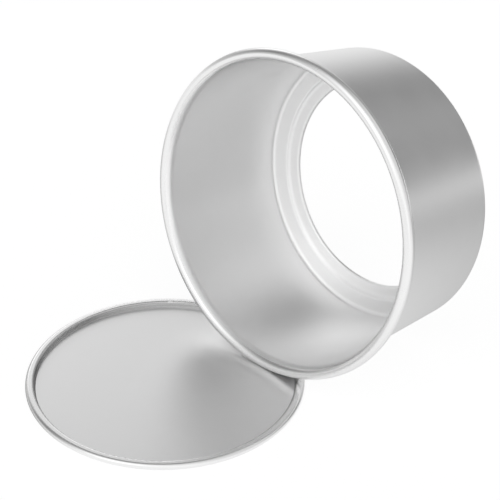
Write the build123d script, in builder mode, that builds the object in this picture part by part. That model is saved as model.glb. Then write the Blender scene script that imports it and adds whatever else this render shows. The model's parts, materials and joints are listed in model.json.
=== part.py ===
from build123d import *

import os
from math import acos, atan2, cos, degrees, hypot, pi, radians, sin, sqrt, tan

# Round cake tin in satin anodised aluminium sheet, 8 in across the mouth and 4 in deep,
# with a loose base. Millimetres and degrees.
#
# The base lies flat and the tin lies on its side beside it. The tin's foot rests on the same
# surface as the base, and the lowest point of its rolled rim rests on the base's plate, inside
# the raised bead, with the bead tucked under the tin's tapered wall.
#
# The origin is the centre of the base's underside, +Z is up, and the tin's axis lies above the
# X direction, with its mouth to -X.

# The sheet that both pieces are pressed from
sheet = 1.2

# The tin, measured as it stands upright
rim_diameter = 218.0          # over the rolled rim, for a mouth of 203 inside it
tin_height = 100.8            # from the lip that it stands on to the top of the rim
wall_taper = 5.1              # lean of the wall from the tin's axis
mouth_flare_bend = 9.0        # where the wall opens out below the roll
mouth_flare_turn = 35.0
rim_roll_diameter = 7.4       # outside of the rolled rim
rim_edge_gap = 1.6            # between the rim's curled edge and the wall
foot_bend = 3.6               # where the ledge turns up into the wall
ledge_width = 12.0            # of the ledge that carries the base, from the wall to the step
ledge_edge_bend = 0.9         # at the top of the step
step_drop = 2.0               # from the ledge down to the lower ring
step_slope = 52.0             # of the step's face from level
step_flat = 0.15              # what the bends at its two ends leave flat of the step's face
lower_ring_width = 10.1       # from the step's top to the push-out hole
lip_bend = 1.2
lip_height = 1.9              # lip turned down round the hole

# The loose base
base_clearance = 0.3          # between the seated base's bead and the start of the foot's bend
base_bead_width = 6.4
base_bead_height = 4.6
base_plate_bend = 1.0         # where the plate turns up into the bead
base_curl = 3.4               # how far the bead's edge is curled back underneath

# How the tin leans on the base
rest_gap = 0.3                # the rim stands this far off the base's plate
bead_clearance = 1.7          # between the top of the bead and the tin's wall above it
sideways_share = 0.33         # of the base's radius, from its centre to the tin's axis

# The tin's wall and rim: radius along x, height above the standing lip along y
half_sheet = sheet / 2
taper = radians(wall_taper)
wall_run = (sin(taper), cos(taper))
roll_radius = rim_roll_diameter / 2
roll_line_radius = roll_radius - half_sheet
roll_centre_radius = rim_diameter / 2 - roll_radius
roll_centre_level = tin_height - roll_radius

# The flare's centre is this far from the roll's, on the line through where the two arcs meet.
flare_turn = radians(mouth_flare_turn)
flare_offset = mouth_flare_bend - roll_line_radius
wall_offset = mouth_flare_bend - flare_offset * cos(flare_turn)
edge_turn = 2 * pi - acos((wall_offset - rim_edge_gap - sheet) / roll_line_radius)
roll_turn = degrees(edge_turn - flare_turn)
wall_top_radius = (
    roll_centre_radius - mouth_flare_bend * cos(taper) + flare_offset * cos(taper + flare_turn)
)
wall_top_level = (
    roll_centre_level + mouth_flare_bend * sin(taper) - flare_offset * sin(taper + flare_turn)
)

lower_ring_level = lip_height - half_sheet
ledge_level = lower_ring_level + step_drop
foot_radius = wall_top_radius - (wall_top_level - ledge_level) * tan(taper)

# The ledge, the step and the hole's lip, inwards from the foot of the wall
half_slope = radians(step_slope) / 2
step_face = step_drop / sin(2 * half_slope)
step_foot_bend = (step_face - step_flat) / tan(half_slope) - ledge_edge_bend
step_top_radius = foot_radius - ledge_width
step_foot_radius = step_top_radius - step_drop / tan(2 * half_slope)
lip_radius = step_top_radius - lower_ring_width + half_sheet

# The foot's round, which the lying tin rests on with its rolled rim
foot_round = foot_bend + half_sheet
foot_centre_radius = foot_radius - foot_bend * (1 - sin(taper)) / cos(taper)
foot_centre_level = ledge_level + foot_bend

# The base: radius along x, height above its underside along y
bead_radius = base_bead_height / 2
bead_line_radius = bead_radius - half_sheet
base_radius = foot_centre_radius + bead_radius - base_clearance
bead_outer_line = base_radius - half_sheet
bead_inner_line = base_radius - base_bead_width + half_sheet
bead_top_line = base_bead_height - half_sheet
bead_crest_radius = base_radius - base_bead_width / 2

# The lean, from where both rounds touch
rim_lift = sheet + rest_gap
radius_fall = roll_centre_radius - foot_centre_radius
axial_run = roll_centre_level - foot_centre_level
level_rise = foot_round - roll_radius - rim_lift
lean = acos(level_rise / hypot(radius_fall, axial_run)) - atan2(axial_run, radius_fall)

# The wall rises from the foot towards the rim, and the bead's crest lies under it.
tin_axis_y = -sideways_share * base_radius
crest_x = sqrt(bead_crest_radius**2 - tin_axis_y**2)
wall_rise = lean - taper
foot_x = (
    crest_x
    + (base_bead_height + bead_clearance) / tan(wall_rise)
    + foot_round * tan(wall_rise / 2)
)

# From the foot's round to the centre of the circle that the tin stands on
tin_foot_x = foot_x + foot_centre_radius * sin(lean) + foot_centre_level * cos(lean)
tin_foot_z = foot_round + foot_centre_radius * cos(lean) - foot_centre_level * sin(lean)
tin_section = Plane(
    origin=(tin_foot_x, tin_axis_y, tin_foot_z),
    x_dir=(-sin(lean), 0, -cos(lean)),
    z_dir=(0, 1, 0),
)

# Tin: one sheet from the lip at the hole, over the ledge and up the wall to the rolled rim
with BuildPart() as tin_body:
    with BuildSketch(tin_section):
        with BuildLine():
            shell_line = FilletPolyline(
                (lip_radius, 0),
                (lip_radius, lower_ring_level),
                (step_foot_radius, lower_ring_level),
                (step_top_radius, ledge_level),
                (foot_radius, ledge_level),
                (wall_top_radius, wall_top_level),
                radius=(lip_bend, step_foot_bend, ledge_edge_bend, foot_bend),
            )
            flare_line = JernArc(
                start=shell_line @ 1,
                tangent=wall_run,
                radius=mouth_flare_bend,
                arc_size=-mouth_flare_turn,
            )
            JernArc(
                start=flare_line @ 1,
                tangent=flare_line % 1,
                radius=roll_line_radius,
                arc_size=-roll_turn,
            )
        trace(line_width=sheet)
    revolve(axis=Axis(tin_section.origin, tin_section.y_dir))

# Base: a flat plate whose edge is rolled up, over and back underneath as a raised bead
with BuildPart() as loose_base:
    with BuildSketch(Plane.XZ):
        with BuildLine():
            FilletPolyline(
                (0, half_sheet),
                (bead_inner_line, half_sheet),
                (bead_inner_line, bead_top_line),
                (bead_outer_line, bead_top_line),
                (bead_outer_line, half_sheet),
                (base_radius - base_curl, half_sheet),
                radius=(base_plate_bend, bead_line_radius, bead_line_radius, bead_line_radius),
            )
        trace(line_width=sheet)
    revolve(axis=Axis.Z)

os.makedirs("parts", exist_ok=True)
tin_body.part.label = "tin_body"
loose_base.part.label = "loose_base"
export_step(tin_body.part, "parts/tin_body.step")
export_step(loose_base.part, "parts/loose_base.step")
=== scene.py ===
import json
import math

import bpy
from mathutils import Matrix, Vector

# Round cake tin and its loose base in satin anodised aluminium sheet, on a plain pale floor.
# Metres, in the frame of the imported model: the origin is under the centre of the base.

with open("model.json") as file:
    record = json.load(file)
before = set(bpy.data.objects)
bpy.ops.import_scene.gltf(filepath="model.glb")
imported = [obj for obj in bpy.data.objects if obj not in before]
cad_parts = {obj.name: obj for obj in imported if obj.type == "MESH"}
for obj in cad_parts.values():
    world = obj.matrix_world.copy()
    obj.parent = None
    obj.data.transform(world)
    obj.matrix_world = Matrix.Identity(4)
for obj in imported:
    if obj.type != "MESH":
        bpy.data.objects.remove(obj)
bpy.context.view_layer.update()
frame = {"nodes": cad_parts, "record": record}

mm = 0.001
up = Vector((0.0, 0.0, 1.0))
white = (1.0, 1.0, 1.0, 1.0)

# The tin as it lies: the centre of the circle that it stands on when upright, its axis, which its
# joint turns upright, and the radius to the middle of its rolled rim
tin_standing_centre = Vector((171.90, -30.18, 90.86)) * mm
tin_turn_upright = math.radians(frame["record"]["behaviour"]["joints"][0]["range_deg"][1])
tin_axis = Matrix.Rotation(-tin_turn_upright, 3, "Y") @ up
rim_radius = 105.3 * mm

# The base: its centre, and the radii to the crest of its bead and to the crease inside the bead
base_centre = Vector((0.0, 0.0, 0.0))
bead_radius = 88.3 * mm
crease_radius = 85.4 * mm

# The sheet's finish, and how far its worn edges and the shade painted along its crease reach to
# each side
sheet_shade = 0.92
sheet_roughness = 0.37
bump_strength = 0.06
bump_depth = 0.05 * mm
worn_gloss = 0.10
worn_to = 3.2 * mm
matt_from = 4.8 * mm
crease_painted_shade_depth = 0.52
crease_shade_full_to = 0.3 * mm
crease_shade_gone_from = 0.9 * mm

# The floor: its size, its colour in the shadow, and how much of the camera's view is plain white
floor_reach = 30.0
floor_matt = (0.8, 0.8, 0.8, 1.0)
floor_glow = 1.12
floor_glow_share = 0.8

# What the metal sees of the floor, a glow with painted light and shade: how bright its dim and its
# far stretches are, where they are, and the painted shadow at the rear left of the base. A heading
# is an angle from the camera's right towards the back.
floor_dim = 0.44
floor_far_brightness = 0.95
floor_front_heading = 252.0
floor_front_centre = Vector((90.0, 0.0, 0.0)) * mm
floor_front_fade = 220.0 * mm
floor_far_from = 200.0 * mm
floor_far_to = 450.0 * mm
base_shade_depth = 0.6
base_shade_heading = 130.0
base_shade_from = -30.0 * mm
base_shade_to = 50.0 * mm
base_shade_full_radius = 90.0 * mm
base_shade_last_radius = 140.0 * mm

# The camera, at the photograph's viewing angle, for an image 500 pixels across
camera_elevation = math.radians(33.549)
camera_heading = math.radians(45.988)
camera_roll = math.radians(0.346)
camera_distance = 1553.2 * mm
camera_look = Vector((151.88, 70.27, 0.0)) * mm
camera_sees_to = 100.0
focal_pixels = 2168.0
image_pixels = 500.0
sensor_width = 36.0

# The studio's even light, its limits, and the soft areas of light and dark round the model:
# heading from the camera's right towards the back, elevation, amount and sharpness
studio_strength = 0.82
studio_darkest = 0.02
studio_brightest = 1.35
studio_areas = (
    (28.0, -4.0, -0.70, 13.0),   # a dark card on the right, standing on the floor
    (75.0, 41.0, -0.94, 2.8),    # the dark side of the room, behind on the right
    (101.0, 20.5, 1.64, 15.5),   # a soft box behind
    (170.0, 34.0, -0.60, 7.7),   # a dark gap on the left
    (110.0, -2.0, -0.85, 20.0),  # the dark foot of the soft box behind
    (219.0, 45.0, 0.68, 6.6),    # a soft box over the photographer's left shoulder
    (30.0, 49.0, 0.57, 12.3),    # a small light high on the right
    (67.0, 47.0, 0.17, 22.0),    # a paler patch in the dark side of the room
    (285.0, 14.0, 0.28, 12.0),   # a light wall behind the photographer
)


class Node:
    """One output socket of a node tree, with the arithmetic that the materials use."""

    def __init__(self, tree, socket):
        self.tree = tree
        self.socket = socket

    def make(self, kind, inputs=(), output=0, **settings):
        """A new node of this kind: its settings first, then the values or links of its sockets."""
        node = self.tree.nodes.new(kind)
        for name, value in settings.items():
            setattr(node, name, value)
        for name, value in dict(inputs).items():
            if isinstance(value, Node):
                self.tree.links.new(value.socket, node.inputs[name])
            else:
                node.inputs[name].default_value = value
        return Node(self.tree, node.outputs[output]) if node.outputs else None

    def math(self, operation, *values):
        return self.make("ShaderNodeMath", enumerate(values), operation=operation)

    def __add__(self, other):
        return self.math("ADD", self, other)

    def __radd__(self, other):
        return self.math("ADD", other, self)

    def __sub__(self, other):
        return self.math("SUBTRACT", self, other)

    def __rsub__(self, other):
        return self.math("SUBTRACT", other, self)

    def __mul__(self, other):
        return self.math("MULTIPLY", self, other)

    def __rmul__(self, other):
        return self.math("MULTIPLY", other, self)

    def __pow__(self, other):
        return self.math("POWER", self, other)

    def size(self):
        return self.math("ABSOLUTE", self)

    def exponent(self):
        return self.math("EXPONENT", self)

    def clamped(self, least, most):
        return self.make("ShaderNodeClamp", {"Value": self, "Min": least, "Max": most})

    def fade(self, start, end):
        """0 where the value is at start or before it, 1 from end on, smooth between."""
        limits = {"Value": self, "From Min": start, "From Max": end}
        return self.make("ShaderNodeMapRange", limits, interpolation_type="SMOOTHSTEP")

    def part(self, axis):
        return self.make("ShaderNodeSeparateXYZ", {"Vector": self}, output=axis)

    def vector(self, operation, other=None, scale=None, output="Vector"):
        """Vector arithmetic on this vector, with a second vector or a scale where it takes one."""
        inputs = {0: self}
        if other is not None:
            inputs[1] = other
        if scale is not None:
            inputs["Scale"] = scale
        return self.make("ShaderNodeVectorMath", inputs, output=output, operation=operation)

    def along(self, direction):
        """How far this vector reaches along a direction."""
        return self.vector("DOT_PRODUCT", direction, output="Value")

    def length(self):
        return self.vector("LENGTH", output="Value")

    def noise(self, scale, detail=2.0, roughness=0.5):
        """Noise about zero, from -0.5 to 0.5."""
        settings = {"Vector": self, "Scale": scale, "Detail": detail, "Roughness": roughness}
        return self.make("ShaderNodeTexNoise", settings) - 0.5


def new_tree(owner):
    """An empty node tree, as a node without a socket that makes the tree's first nodes."""
    owner.use_nodes = True
    owner.node_tree.nodes.clear()
    return Node(owner.node_tree, None)


def round_normal(tree, axis, centre):
    """The surface's normal without what leads round the axis, so that a body of revolution is
    shaded evenly over the flats of its mesh and the line where its faces meet."""
    arm = tree.make("ShaderNodeTexCoord", output="Object").vector("SUBTRACT", centre)
    normal = tree.make("ShaderNodeTexCoord", output="Normal")
    round_axis = arm.vector("CROSS_PRODUCT", axis).vector("NORMALIZE")
    excess = round_axis.vector("SCALE", scale=normal.along(round_axis))
    even = normal.vector("SUBTRACT", excess).vector("NORMALIZE")
    turned = {"vector_type": "NORMAL", "convert_from": "OBJECT", "convert_to": "WORLD"}
    return tree.make("ShaderNodeVectorTransform", {"Vector": even}, **turned)


def satin_aluminium(name, axis, centre, worn_radius, crease_radius=None):
    """Anodised sheet that is round about an axis: a fine matt grain, faint spinning marks, rolled
    edges that are slightly polished, and painted shade along the crease where a turned-up edge
    starts."""
    material = bpy.data.materials.new(name)
    tree = new_tree(material)

    # Object coordinates from the centre, turned so that Z runs along the axis
    turn = axis.rotation_difference(up).to_matrix()
    place = tree.make("ShaderNodeTexCoord", output="Object")
    mapping = {"Vector": place, "Location": -(turn @ centre), "Rotation": turn.to_euler()}
    spot = tree.make("ShaderNodeMapping", mapping)
    x, y, z = spot.part("X"), spot.part("Y"), spot.part("Z")
    radius = (x * x + y * y) ** 0.5

    # Each pattern's scale is per metre.
    clouds = spot.noise(18.0, detail=3.0)
    grain = spot.noise(2600.0, detail=1.0)
    rings = tree.make("ShaderNodeCombineXYZ", {"X": radius, "Y": z}).noise(900.0)
    handling = spot.noise(75.0, detail=5.0, roughness=0.65)
    worn = 1.0 - (radius - worn_radius).size().fade(worn_to, matt_from)
    matt = 1.0 - worn

    shade = sheet_shade + clouds * 0.03 + handling * 0.02 + grain * matt * 0.03
    # Painted shade: the colour darkens along the crease where the turned-up edge starts
    if crease_radius:
        crease_shade = 1.0 - (radius - crease_radius).size().fade(crease_shade_full_to, crease_shade_gone_from)
        shade = shade * (1.0 - crease_shade * crease_painted_shade_depth)
    colour = tree.make("ShaderNodeCombineColor", {"Red": shade, "Green": shade, "Blue": shade})
    unevenness = clouds * 0.04 + (handling + grain) * matt * 0.05
    roughness = sheet_roughness + unevenness - worn * worn_gloss

    height = (grain * 0.5 + rings * 0.35 + handling * 0.15) * (1.0 - worn * 0.85)
    bump = {"Strength": bump_strength, "Distance": bump_depth, "Height": height}
    bump["Normal"] = round_normal(tree, axis, centre)
    normal = tree.make("ShaderNodeBump", bump)
    finish = {"Base Color": colour, "Metallic": 1.0, "Roughness": roughness, "Normal": normal}
    surface = tree.make("ShaderNodeBsdfPrincipled", finish)
    tree.make("ShaderNodeOutputMaterial", {"Surface": surface})
    return material


def give(node, material):
    for material_slot in frame["nodes"][node].material_slots:
        material_slot.material = material


give("tin_body", satin_aluminium("tin_satin", tin_axis, tin_standing_centre, rim_radius))
give("loose_base", satin_aluminium("base_satin", up, base_centre, bead_radius, crease_radius))


def toward(right, away, above):
    """A direction as the camera sees it, turned into the model's frame."""
    heading = Matrix.Rotation(camera_heading, 3, "Z")
    return (heading.inverted() @ Vector((right, away, above))).normalized()


def compass(heading, elevation):
    """A direction by its heading from the camera's right towards the back, and its elevation."""
    heading, elevation = math.radians(heading), math.radians(elevation)
    level = math.cos(elevation)
    return toward(level * math.cos(heading), level * math.sin(heading), math.sin(elevation))


def floor_material():
    """A floor that the camera sees as white, with a soft shadow. What the metal sees of it is a
    glow with painted light and shade: bright in front and far behind, dim between, and a painted
    shadow round the rear left of the base."""
    material = bpy.data.materials.new("pale_floor")
    tree = new_tree(material)
    camera_ray = tree.make("ShaderNodeLightPath", output="Is Camera Ray")
    glossy_ray = tree.make("ShaderNodeLightPath", output="Is Glossy Ray")
    place = tree.make("ShaderNodeNewGeometry", output="Position")

    # For glossy rays the floor glows with painted light and shade: lit in front, dim between,
    # bright far behind
    front = compass(floor_front_heading, 0.0)
    in_front = place.along(front) - floor_front_centre.dot(front)
    lit_front = in_front.fade(-floor_front_fade, floor_front_fade)
    near_floor = floor_dim + lit_front * (1.0 - floor_dim)
    far = place.along(toward(0.0, 1.0, 0.0)).fade(floor_far_from, floor_far_to)
    reflected = near_floor + far * (floor_far_brightness - near_floor)

    # A painted shadow on the floor round the rear left of the base, seen only in the metal
    beyond_base = place.length().fade(base_shade_full_radius, base_shade_last_radius)
    rear_left = place.along(compass(base_shade_heading, 0.0))
    base_shade = (1.0 - beyond_base) * rear_left.fade(base_shade_from, base_shade_to)
    reflected = reflected * (1.0 - base_shade * base_shade_depth)

    matt = tree.make("ShaderNodeBsdfDiffuse", {"Color": floor_matt})
    brightness = camera_ray * floor_glow + glossy_ray * reflected
    glow = tree.make("ShaderNodeEmission", {"Color": white, "Strength": brightness})
    glow_share = camera_ray * floor_glow_share + glossy_ray
    surface = tree.make("ShaderNodeMixShader", {0: glow_share, 1: matt, 2: glow})
    tree.make("ShaderNodeOutputMaterial", {"Surface": surface})
    return material


def pale_floor():
    bpy.ops.mesh.primitive_plane_add(size=2.0 * floor_reach)
    floor = bpy.context.object
    floor.name = "floor"
    floor.data.materials.append(floor_material())


pale_floor()


def studio_world():
    """White all round for the camera, and soft grey and white areas for what lights the metal."""
    world = bpy.data.worlds.new("studio")
    bpy.context.scene.world = world
    tree = new_tree(world)
    direction = tree.make("ShaderNodeTexCoord", output="Generated")
    strength = studio_strength
    for heading, elevation, amount, sharpness in studio_areas:
        nearness = (direction.along(compass(heading, elevation)) - 1.0) * sharpness
        strength = nearness.exponent() * amount + strength
    strength = strength.clamped(studio_darkest, studio_brightest)
    camera_ray = tree.make("ShaderNodeLightPath", output="Is Camera Ray")
    light = tree.make("ShaderNodeBackground", {"Color": white, "Strength": strength})
    backdrop = tree.make("ShaderNodeBackground", {"Color": white, "Strength": 1.0})
    surface = tree.make("ShaderNodeMixShader", {0: camera_ray, 1: light, 2: backdrop})
    tree.make("ShaderNodeOutputWorld", {"Surface": surface})


studio_world()


def photo_camera():
    data = bpy.data.cameras.new("photo_camera")
    data.sensor_width = sensor_width
    data.lens = sensor_width * focal_pixels / image_pixels
    data.clip_end = camera_sees_to
    camera = bpy.data.objects.new("photo_camera", data)
    bpy.context.scene.collection.objects.link(camera)
    forward = toward(0.0, math.cos(camera_elevation), -math.sin(camera_elevation))
    rotation = forward.to_track_quat("-Z", "Y").to_matrix() @ Matrix.Rotation(camera_roll, 3, "Z")
    camera.matrix_world = (
        Matrix.Translation(camera_look - forward * camera_distance) @ rotation.to_4x4()
    )
    bpy.context.scene.camera = camera


photo_camera()

bpy.context.scene.view_settings.view_transform = "Standard"
